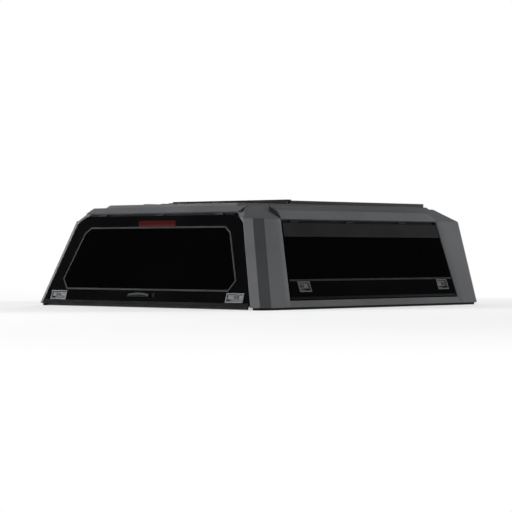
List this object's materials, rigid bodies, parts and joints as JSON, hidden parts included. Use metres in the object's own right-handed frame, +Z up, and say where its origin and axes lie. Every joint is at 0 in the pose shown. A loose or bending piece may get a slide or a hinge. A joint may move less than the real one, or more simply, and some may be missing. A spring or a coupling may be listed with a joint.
{
  "type": "pickup truck canopy",
  "caption": "Faceted hard canopy for a pickup load bed, with lift-up rear and side doors on gas struts, tinted windows, slotted roof rails and a sealed base frame.",
  "frame": {"origin": "middle of the footprint, on the underside of the base seal", "axes": "+X to the right side, +Y to the front end that faces the cab, +Z up"},
  "size_m": [1.645, 1.8282, 0.555],
  "materials": {
    "shell_powder_coat": "textured dark grey-black powder coat",
    "door_gloss_coat": "smooth gloss black",
    "door_head_coat": "satin dark grey",
    "tinted_glass": "dark tinted safety glass",
    "window_bead": "grey satin glazing bead",
    "latch_metal": "satin grey",
    "seal_rubber": "matt black",
    "light_lens": "dull red lens",
    "rail_black": "black anodised",
    "hinge_steel": "blackened",
    "strut_black": "black",
    "strut_rod": "polished",
    "handle_black": "satin black"
  },
  "bodies": {
    "shell": {"left_rear_post": "shell_powder_coat", "left_front_post": "shell_powder_coat", "right_rear_post": "shell_powder_coat", "right_front_post": "shell_powder_coat", "right_top_rail": "shell_powder_coat", "left_top_rail": "shell_powder_coat", "rear_header": "shell_powder_coat", "right_bottom_rail": "shell_powder_coat", "left_bottom_rail": "shell_powder_coat", "front_panel": "shell_powder_coat", "front_window_frame": "window_bead", "front_window_glass": "tinted_glass", "roof_panel": "shell_powder_coat", "roof_rails": "rail_black", "roof_crossbar": "rail_black", "crossbar_feet": "shell_powder_coat", "base_seal": "seal_rubber", "door_seals": "seal_rubber", "hinge_leaves": "hinge_steel", "strut_anchors": "hinge_steel"},
    "rear_door": {"rear_door_panel": "door_gloss_coat", "rear_door_glass": "tinted_glass", "rear_window_bead": "window_bead", "rear_latch_trays": "latch_metal", "brake_light": "light_lens", "rear_door_handle": "handle_black", "rear_door_seal": "seal_rubber", "rear_door_hardware": "hinge_steel"},
    "left_door": {"left_door_panel": "door_gloss_coat", "left_door_head": "door_head_coat", "left_door_glass": "tinted_glass", "left_window_bead": "window_bead", "left_latch_trays": "latch_metal", "left_door_hardware": "hinge_steel"},
    "right_door": {"right_door_panel": "door_gloss_coat", "right_door_head": "door_head_coat", "right_door_glass": "tinted_glass", "right_window_bead": "window_bead", "right_latch_trays": "latch_metal", "right_door_hardware": "hinge_steel"},
    "right_rear_latch": {"right_rear_paddle": "latch_metal"},
    "left_rear_latch": {"left_rear_paddle": "latch_metal"},
    "right_front_latch": {"right_front_paddle": "latch_metal"},
    "left_front_latch": {"left_front_paddle": "latch_metal"},
    "right_strut_tubes": {"right_strut_tubes": "strut_black"},
    "left_strut_tubes": {"left_strut_tubes": "strut_black"},
    "right_strut_rods": {"right_strut_rods": "strut_rod"},
    "left_strut_rods": {"left_strut_rods": "strut_rod"},
    "rear_left_latch": {"rear_left_paddle": "latch_metal"},
    "rear_right_latch": {"rear_right_paddle": "latch_metal"},
    "rear_strut_tubes": {"rear_strut_tubes": "strut_black"},
    "rear_strut_rods": {"rear_strut_rods": "strut_rod"}
  },
  "joints": [
    {"name": "rear_door_hinge", "type": "hinge", "parent": "shell", "child": "rear_door", "pos_m": [0, -0.78027, 0.47315], "axis": [-1, 0, 0], "range_deg": [0, 78]},
    {"name": "right_door_hinge", "type": "hinge", "parent": "shell", "child": "right_door", "pos_m": [0.6567, -0.01912, 0.43593], "axis": [0, -1, 0], "range_deg": [0, 78]},
    {"name": "left_door_hinge", "type": "hinge", "parent": "shell", "child": "left_door", "pos_m": [-0.6567, -0.01912, 0.43593], "axis": [0, 1, 0], "range_deg": [0, 78]},
    {"name": "rear_strut_swing", "type": "hinge", "parent": "shell", "child": "rear_strut_tubes", "pos_m": [0, -0.71636, 0.40375], "axis": [-1, 0, 0], "range_deg": [0, 70.87]},
    {"name": "rear_strut_slide", "type": "slide", "parent": "rear_strut_tubes", "child": "rear_strut_rods", "axis": [0, -0.4577, -0.8891], "range_m": [0, 0.11476]},
    {"name": "right_strut_swing", "type": "hinge", "parent": "shell", "child": "right_strut_tubes", "pos_m": [0.59843, -0.01912, 0.36173], "axis": [0, -1, 0], "range_deg": [0, 70.87]},
    {"name": "right_strut_slide", "type": "slide", "parent": "right_strut_tubes", "child": "right_strut_rods", "axis": [0.526, 0, -0.8505], "range_m": [0, 0.11476]},
    {"name": "left_strut_swing", "type": "hinge", "parent": "shell", "child": "left_strut_tubes", "pos_m": [-0.59843, -0.01912, 0.36173], "axis": [0, 1, 0], "range_deg": [0, 70.87]},
    {"name": "left_strut_slide", "type": "slide", "parent": "left_strut_tubes", "child": "left_strut_rods", "axis": [-0.526, 0, -0.8505], "range_m": [0, 0.11476]},
    {"name": "rear_left_latch_hinge", "type": "hinge", "parent": "rear_door", "child": "rear_left_latch", "pos_m": [-0.635, -0.88869, 0.06986], "axis": [-1, 0, 0], "range_deg": [0, 40], "stiffness_Nm_per_rad": 0.1},
    {"name": "rear_right_latch_hinge", "type": "hinge", "parent": "rear_door", "child": "rear_right_latch", "pos_m": [0.635, -0.88869, 0.06986], "axis": [-1, 0, 0], "range_deg": [0, 40], "stiffness_Nm_per_rad": 0.1},
    {"name": "right_rear_latch_hinge", "type": "hinge", "parent": "right_door", "child": "right_rear_latch", "pos_m": [0.76662, -0.54612, 0.12498], "axis": [0, -1, 0], "range_deg": [0, 40], "stiffness_Nm_per_rad": 0.1},
    {"name": "right_front_latch_hinge", "type": "hinge", "parent": "right_door", "child": "right_front_latch", "pos_m": [0.76662, 0.57088, 0.12498], "axis": [0, -1, 0], "range_deg": [0, 40], "stiffness_Nm_per_rad": 0.1},
    {"name": "left_rear_latch_hinge", "type": "hinge", "parent": "left_door", "child": "left_rear_latch", "pos_m": [-0.76662, -0.54612, 0.12498], "axis": [0, 1, 0], "range_deg": [0, 40], "stiffness_Nm_per_rad": 0.1},
    {"name": "left_front_latch_hinge", "type": "hinge", "parent": "left_door", "child": "left_front_latch", "pos_m": [-0.76662, 0.57088, 0.12498], "axis": [0, 1, 0], "range_deg": [0, 40], "stiffness_Nm_per_rad": 0.1}
  ],
  "couplings": [
    {"joint": "rear_strut_swing", "follows": "rear_door_hinge", "ratio": 0.90838},
    {"joint": "rear_strut_slide", "follows": "rear_door_hinge", "m_per_rad": 0.08429},
    {"joint": "right_strut_swing", "follows": "right_door_hinge", "ratio": 0.90838},
    {"joint": "right_strut_slide", "follows": "right_door_hinge", "m_per_rad": 0.08429},
    {"joint": "left_strut_swing", "follows": "left_door_hinge", "ratio": 0.90838},
    {"joint": "left_strut_slide", "follows": "left_door_hinge", "m_per_rad": 0.08429}
  ]
}
